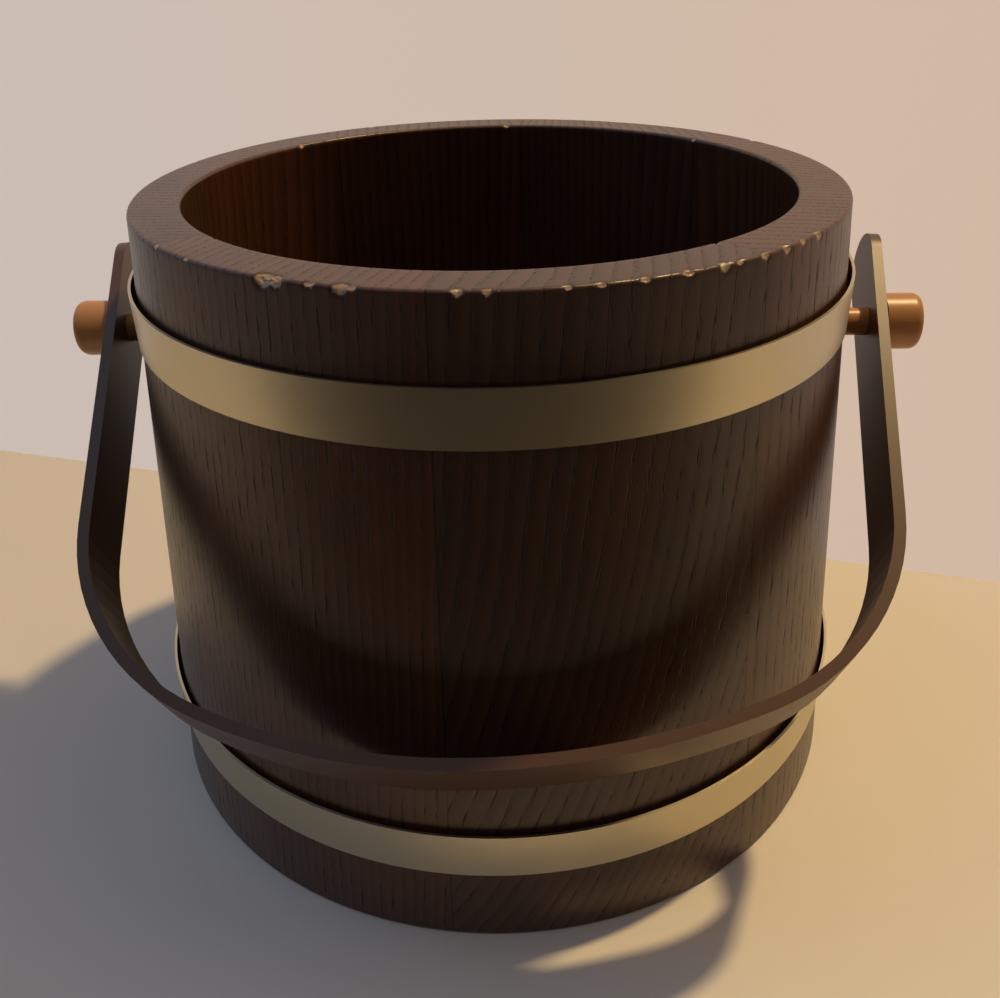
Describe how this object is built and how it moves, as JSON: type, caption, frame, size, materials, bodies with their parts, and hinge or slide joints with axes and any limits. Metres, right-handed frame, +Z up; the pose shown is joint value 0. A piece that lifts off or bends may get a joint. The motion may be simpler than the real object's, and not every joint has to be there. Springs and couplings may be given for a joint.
{
  "type": "sugar firkin",
  "caption": "Coopered wooden firkin, wider at the foot, with brass hoops and a bent wood bail that swings on side pegs.",
  "frame": {"origin": "middle of the ring of stave ends that the firkin stands on", "axes": "+Z up, +X along the pegs to the right, and the bail rests against the front, -Y"},
  "size_m": [0.2346, 0.2166, 0.164],
  "materials": {
    "stave_wood": "dark reddish-brown stain under semi-gloss lacquer",
    "bottom_wood": "dark stain, satin",
    "hoop_brass": "aged satin brass, lightly scratched",
    "bail_wood": "dark stain, smooth broad faces and rough-sawn edges",
    "peg_wood": "clear-lacquered light wood, turned"
  },
  "bodies": {
    "bucket": {"stave_1": "stave_wood", "stave_2": "stave_wood", "stave_3": "stave_wood", "stave_4": "stave_wood", "stave_5": "stave_wood", "stave_6": "stave_wood", "stave_7": "stave_wood", "stave_8": "stave_wood", "bottom_board_front": "bottom_wood", "bottom_board_middle": "bottom_wood", "bottom_board_back": "bottom_wood", "upper_hoop": "hoop_brass", "lower_hoop": "hoop_brass", "upper_hoop_rivets": "hoop_brass", "lower_hoop_rivets": "hoop_brass", "peg_left": "peg_wood", "peg_right": "peg_wood"},
    "bail": {"bail": "bail_wood"}
  },
  "joints": [
    {"name": "bail_swing", "type": "hinge", "parent": "bucket", "child": "bail", "pos_m": [0, 0, 0.1242], "axis": [-1, 0, 0], "range_deg": [0, 243]}
  ]
}
